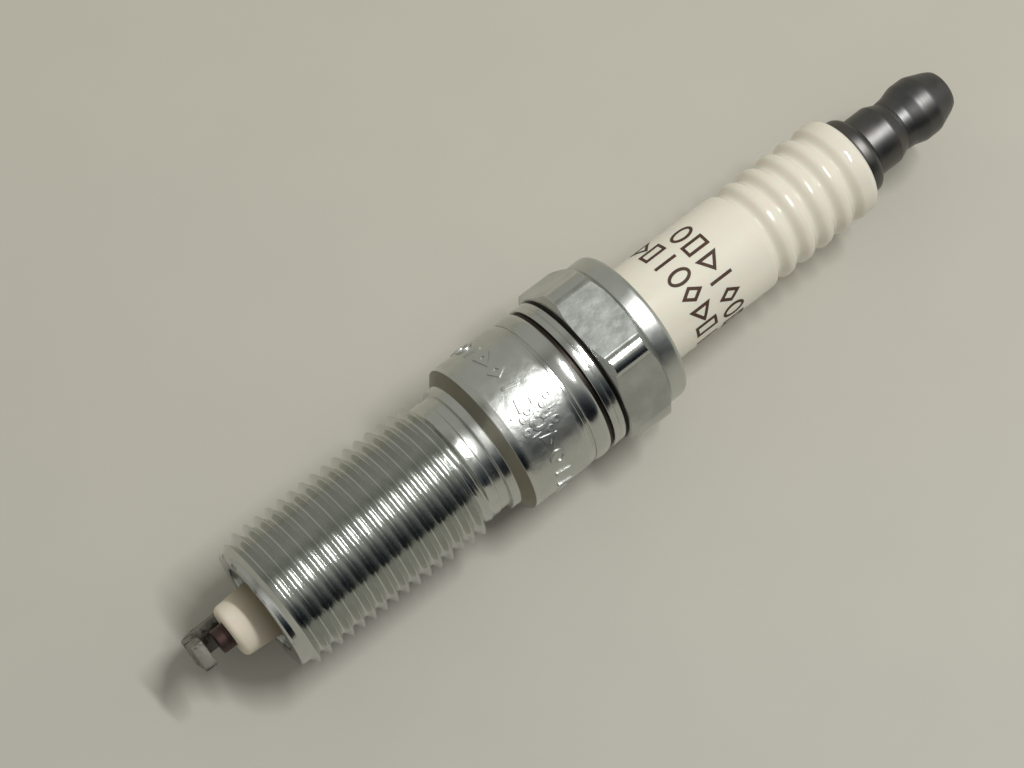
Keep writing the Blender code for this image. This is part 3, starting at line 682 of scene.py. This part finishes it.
strap.data.transform(Matrix.Translation((0, 0, AXIS_HEIGHT))
                     @ Matrix.Rotation(STRAP_TURN, 4, "X")
                     @ Matrix.Translation((0, 0, -AXIS_HEIGHT)))
edges = strap.modifiers.new("edges", "BEVEL")
edges.width = STRAP_EDGE * MM
edges.segments = 3
edges.limit_method = "ANGLE"
edges.angle_limit = math.radians(40.0)
apply_modifier(strap, "edges")
bpy.ops.object.shade_smooth_by_angle(angle=math.radians(35.0))

# Nickel alloy, drawn to a strip: dull grey and a little warm, with dark specks left by
# bending and cutting.
nickel, tree, shader, place = new_material("drawn_nickel_alloy")
grain = node(tree, "ShaderNodeTexNoise", {
    "Vector": place, "Scale": grains(0.7143), "Detail": 5.0})
specks = node(tree, "ShaderNodeTexNoise", {
    "Vector": place, "Scale": grains(1.4286), "Detail": 4.0, "Roughness": 0.65})
dirt = node(tree, "ShaderNodeMapRange", {
    "Value": specks.outputs["Fac"], "From Min": 0.50, "From Max": 0.62})
colour = node(tree, "ShaderNodeMix", {
    "Factor": grain.outputs["Fac"], "A": hex_colour("#918E85"), "B": hex_colour("#6F6B63")},
    data_type="RGBA")
colour = node(tree, "ShaderNodeMix", {
    "Factor": dirt.outputs["Result"], "A": colour.outputs["Result"],
    "B": hex_colour("#3F3A33")}, data_type="RGBA")
rough = node(tree, "ShaderNodeMapRange", {
    "Value": specks.outputs["Fac"], "From Min": 0.3, "From Max": 0.7,
    "To Min": 0.52, "To Max": 0.75})
bump = node(tree, "ShaderNodeBump", {
    "Height": specks.outputs["Fac"], "Strength": 0.6, "Distance": 0.06 * MM})
tree.links.new(colour.outputs["Result"], shader.inputs["Base Color"])
tree.links.new(rough.outputs["Result"], shader.inputs["Roughness"])
tree.links.new(bump.outputs["Normal"], shader.inputs["Normal"])
shader.inputs["Metallic"].default_value = 0.45
strap.data.materials.append(nickel)
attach(strap, "plug")
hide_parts("ground_electrode")

# ------------------------------------------------------------------ centre electrode
# Nickel alloy over a copper core, pushed through the nose from inside. Its tip is
# darkened by heat.

tip = along_plug(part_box("centre_electrode")[0].x)
head = along_plug(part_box("centre_electrode")[1].x)
PIN_RADIUS = 1.20
HEAD_RADIUS = 1.80
CORE_RADIUS = 0.67
CORE_START = tip + 2.2
FEW_SIDES = 96
electrode = turned("centre_electrode_tip", eased([
    (tip, 0.0, 0.0), (tip, PIN_RADIUS, 0.15), (head - 1.7, PIN_RADIUS, 0.1),
    (head - 1.2, HEAD_RADIUS, 0.1), (head, HEAD_RADIUS, 0.1), (head, CORE_RADIUS, 0.05),
    (CORE_START, CORE_RADIUS, 0.05), (CORE_START, 0.0, 0.0)]), FEW_SIDES)

# Nickel burnt brown: dull, with a thin scale.
burnt, tree, shader, place = new_material("heat_darkened_nickel")
scale_marks = node(tree, "ShaderNodeTexNoise", {
    "Vector": place, "Scale": grains(0.9091), "Detail": 6.0})
colour = node(tree, "ShaderNodeMix", {
    "Factor": scale_marks.outputs["Fac"], "A": hex_colour("#3B2C2C"), "B": hex_colour("#5E4C48")},
    data_type="RGBA")
bump = node(tree, "ShaderNodeBump", {
    "Height": scale_marks.outputs["Fac"], "Strength": 0.4, "Distance": 0.03 * MM})
tree.links.new(colour.outputs["Result"], shader.inputs["Base Color"])
tree.links.new(bump.outputs["Normal"], shader.inputs["Normal"])
shader.inputs["Metallic"].default_value = 0.8
shader.inputs["Roughness"].default_value = 0.5
electrode.data.materials.append(burnt)
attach(electrode, "plug")
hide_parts("centre_electrode")

# --------------------------------------------------------------------- terminal stud
# Turned steel stud, chemically blackened: a domed flange on the insulator's top and a
# short threaded end for the nut.

stud_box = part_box("terminal_stud")
stud_start = along_plug(stud_box[0].x)
stud_end = along_plug(stud_box[1].x)
SHANK_RADIUS = 1.55
FLANGE_START = CERAMIC_TOP + 0.10
FLANGE_RADIUS = 4.10
FLANGE_DOME = 0.85
FLANGE_TOP = FLANGE_START + 1.70
STUD_PITCH = 0.7
STUD_CREST = 1.93
STUD_ROOT = 1.62
STUD_TURNS = 9
corners = [(stud_start, 0.0, 0.0), (stud_start, 1.25, 0.1),
           (stud_start + 0.5, SHANK_RADIUS, 0.1), (FLANGE_START, SHANK_RADIUS, 0.1),
           (FLANGE_START, FLANGE_RADIUS, 0.30), (FLANGE_TOP, FLANGE_RADIUS, FLANGE_DOME),
           (FLANGE_TOP, 1.75, 0.1)]
for turn in range(STUD_TURNS):
    middle = FLANGE_TOP + STUD_PITCH + STUD_PITCH * turn
    corners += [(middle - 0.30, STUD_CREST, 0.03), (middle, STUD_ROOT, 0.03),
                (middle + 0.30, STUD_CREST, 0.03)]
corners += [(stud_end - 0.30, 1.90, 0.05), (stud_end, SHANK_RADIUS, 0.05),
            (stud_end, 0.0, 0.0)]
stud = turned("terminal_stud_turned", eased(corners), FEW_SIDES)

# ---------------------------------------------------------------------- terminal nut
# Turned steel nut, screwed on the stud: straight base, waist, and a bulge that the
# plug cap's spring snaps over. Blackened like the stud.

nut_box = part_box("terminal_nut")
base = along_plug(nut_box[0].x)
nut_end = along_plug(nut_box[1].x)
NUT_SIDES = 128
NUT_BORE = 2.03
BORE_DEPTH = 8.0
BASE_RADIUS = 3.18
corners = [(base + BORE_DEPTH, 0.0, 0.0), (base + BORE_DEPTH, NUT_BORE, 0.1),
           (base, NUT_BORE, 0.1), (base, BASE_RADIUS, 0.18), (base + 2.9, BASE_RADIUS, 0.8),
           (base + 3.9, 2.76, 0.5), (base + 4.15, 2.71, 0.08), (base + 4.25, 2.66, 0.03),
           (base + 4.35, 2.72, 0.06), (base + 5.3, 2.80, 1.2), (base + 6.6, 3.17, 1.6),
           (base + 8.2, 3.15, 1.5), (base + 10.1, 2.42, 0.9), (nut_end, 2.08, 0.30),
           (nut_end, 0.0, 0.0)]
nut = turned("terminal_nut_turned", eased(corners, 8), NUT_SIDES)

# Blackened steel: a thin oxide film over fine turning, patchy between blue-grey and
# brown-grey, and shinier where the film is thin. The turning lines are drawn coarser than
# real ones here too.
blackened, tree, shader, place = new_material("blackened_steel")
x = node(tree, "ShaderNodeSeparateXYZ", {"Vector": place}).outputs["X"]
film = node(tree, "ShaderNodeTexNoise", {
    "Vector": place, "Scale": grains(2.0), "Detail": 6.0})
turning = node(tree, "ShaderNodeTexNoise", {
    "W": x, "Scale": grains(0.1667), "Detail": 3.0}, noise_dimensions="1D")
colour = node(tree, "ShaderNodeMix", {
    "Factor": film.outputs["Fac"], "A": hex_colour("#51555B"), "B": hex_colour("#75716A")},
    data_type="RGBA")
rough = node(tree, "ShaderNodeMapRange", {
    "Value": film.outputs["Fac"], "To Min": 0.28, "To Max": 0.52})
height = node(tree, "ShaderNodeMix", {
    "Factor": 0.5, "A": turning.outputs["Fac"], "B": film.outputs["Fac"]}, data_type="FLOAT")
bump = node(tree, "ShaderNodeBump", {
    "Height": height.outputs["Result"], "Strength": 0.35, "Distance": 0.03 * MM})
tree.links.new(colour.outputs["Result"], shader.inputs["Base Color"])
tree.links.new(rough.outputs[0], shader.inputs["Roughness"])
tree.links.new(bump.outputs["Normal"], shader.inputs["Normal"])
shader.inputs["Metallic"].default_value = 1.0
for piece, body, replaced in ((stud, "plug", "terminal_stud"),
                              (nut, "terminal_nut", "terminal_nut")):
    piece.data.materials.append(blackened)
    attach(piece, body)
    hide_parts(replaced)

# -------------------------------------------------------------------- inner pieces
# Washer, packing rings, powder, copper core, glass seals and resistor. They keep the
# frame's shapes and take the finish of the real stuff.

# each node's finish: name, light and dark tone, metallic share and roughness
INNER = {
    "lower_seat_washer": ("soft_steel_washer", "#8E8B85", "#6F6C67", 1.0, 0.4),
    "lower_packing_ring": ("soft_steel_lower_ring", "#8E8B85", "#6F6C67", 1.0, 0.4),
    "upper_packing_ring": ("soft_steel_upper_ring", "#8E8B85", "#6F6C67", 1.0, 0.4),
    "talc_fill": ("pressed_talc", "#E2DED2", "#CFCABB", 0.0, 0.9),
    "centre_electrode_core": ("copper_core", "#C77B55", "#A9623F", 1.0, 0.35),
    "lower_glass_seal": ("lower_copper_glass", "#5A3D30", "#3B2720", 0.2, 0.5),
    "upper_glass_seal": ("upper_copper_glass", "#5A3D30", "#3B2720", 0.2, 0.5),
    "resistor": ("carbon_glass", "#2C2C2E", "#1D1D1F", 0.0, 0.6)}
for name, (finish, light, dark, metal, roughness) in INNER.items():
    material, tree, shader, place = new_material(finish)
    grain = node(tree, "ShaderNodeTexNoise", {
        "Vector": place, "Scale": grains(0.8333), "Detail": 5.0})
    colour = node(tree, "ShaderNodeMix", {
        "Factor": grain.outputs["Fac"], "A": hex_colour(light), "B": hex_colour(dark)},
        data_type="RGBA")
    bump = node(tree, "ShaderNodeBump", {
        "Height": grain.outputs["Fac"], "Strength": 0.4, "Distance": 0.03 * MM})
    tree.links.new(colour.outputs["Result"], shader.inputs["Base Color"])
    tree.links.new(bump.outputs["Normal"], shader.inputs["Normal"])
    shader.inputs["Metallic"].default_value = metal
    shader.inputs["Roughness"].default_value = roughness
    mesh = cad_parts[name].data
    mesh.materials.clear()
    mesh.materials.append(material)

# ------------------------------------------------------------- floor, light, camera
# A pale matt table, with painted light making it a little warmer and lighter on its far
# side. The strip lamp lies across the plug, above its terminal side. The room is pale, and
# dark behind the near edge of the table.

FLOOR_SIZE = 2.0
FAR_SIDE = (0.635, 0.772, 0.0)
NEAR_EDGE = -45.0
FAR_EDGE = 35.0
bpy.ops.object.select_all(action="DESELECT")
bpy.ops.mesh.primitive_plane_add(size=FLOOR_SIZE)
floor = bpy.context.active_object
floor.name = "table"
paint, tree, shader, place = new_material("matt_table_paint")
speck = node(tree, "ShaderNodeTexNoise", {
    "Vector": place, "Scale": grains(11.11), "Detail": 4.0})
# painted light: the far tones are lighter and warmer than the near ones, as where the lamp falls
# more
near = node(tree, "ShaderNodeMix", {
    "Factor": speck.outputs["Fac"], "A": hex_colour("#BDBAB0"), "B": hex_colour("#B8B5AC")},
    data_type="RGBA")
far = node(tree, "ShaderNodeMix", {
    "Factor": speck.outputs["Fac"], "A": hex_colour("#C2BEB0"), "B": hex_colour("#BDB9AC")},
    data_type="RGBA")
depth = node(tree, "ShaderNodeVectorMath", {0: place, 1: FAR_SIDE},
             operation="DOT_PRODUCT")
depth = node(tree, "ShaderNodeMapRange", {
    "Value": depth.outputs["Value"], "From Min": NEAR_EDGE * MM,
    "From Max": FAR_EDGE * MM})
colour = node(tree, "ShaderNodeMix", {
    "Factor": depth.outputs["Result"], "A": near.outputs["Result"],
    "B": far.outputs["Result"]}, data_type="RGBA")
tree.links.new(colour.outputs["Result"], shader.inputs["Base Color"])
shader.inputs["Roughness"].default_value = 0.6
floor.data.materials.append(paint)

LAMP_PLACE = Vector((0.250, -0.130, 0.600))
LAMP_SIZE = (0.28, 0.030)
LAMP_WATTS = 2.5
lamp = bpy.data.lights.new("strip_lamp", "AREA")
lamp.shape = "RECTANGLE"
lamp.size, lamp.size_y = LAMP_SIZE
lamp.energy = LAMP_WATTS
lamp_holder = bpy.data.objects.new("strip_lamp", lamp)
bpy.context.scene.collection.objects.link(lamp_holder)
lamp_holder.location = LAMP_PLACE
lamp_aim = Vector((-LAMP_PLACE.x, 0.0, -LAMP_PLACE.z))
lamp_holder.rotation_euler = lamp_aim.to_track_quat("-Z", "Y").to_euler()

world = bpy.data.worlds.new("room")
bpy.context.scene.world = world
world.use_nodes = True
tree = world.node_tree
towards = node(tree, "ShaderNodeTexCoord").outputs["Generated"]
across = node(tree, "ShaderNodeSeparateXYZ", {"Vector": towards}).outputs["Y"]
share = node(tree, "ShaderNodeMapRange", {"Value": across, "From Min": -1.0}).outputs["Result"]
walls = node(tree, "ShaderNodeValToRGB", {"Fac": share})
# the room's tones from its near side (0) to its far side (1)
WALLS = ((0.0, "#0E1116"), (0.045, "#15191F"), (0.08, "#3A3F43"), (0.14, "#5E6265"),
         (0.22, "#A6A6A1"), (0.36, "#D4D3CF"), (0.50, "#BAB9B5"), (0.63, "#86877F"),
         (0.78, "#ACABA4"), (1.0, "#A8A7A0"))
walls.color_ramp.elements[0].color = hex_colour(WALLS[0][1])
walls.color_ramp.elements[1].color = hex_colour(WALLS[-1][1])
for position, tint in WALLS[1:-1]:
    walls.color_ramp.elements.new(position).color = hex_colour(tint)
tree.links.new(walls.outputs["Color"], tree.nodes["Background"].inputs["Color"])
bpy.context.scene.view_settings.view_transform = "Standard"

CAMERA_LENS = 79.0
AIMED_ALONG = 30.86
CAMERA_FROM_AIM = Vector((-50.0, -58.4, 191.6))
CAMERA_LOOK = Vector((0.242, 0.294, -0.9245))
camera_data = bpy.data.cameras.new("camera")
camera_data.lens = CAMERA_LENS
camera_data.sensor_width = 36.0
camera_data.clip_start = 0.01
camera = bpy.data.objects.new("camera", camera_data)
bpy.context.scene.collection.objects.link(camera)
aimed_at = Vector((SPARK_END + AIMED_ALONG * MM, 0.0, AXIS_HEIGHT))
camera.location = aimed_at + CAMERA_FROM_AIM * MM
camera.rotation_euler = CAMERA_LOOK.to_track_quat("-Z", "Y").to_euler()
bpy.context.scene.camera = camera
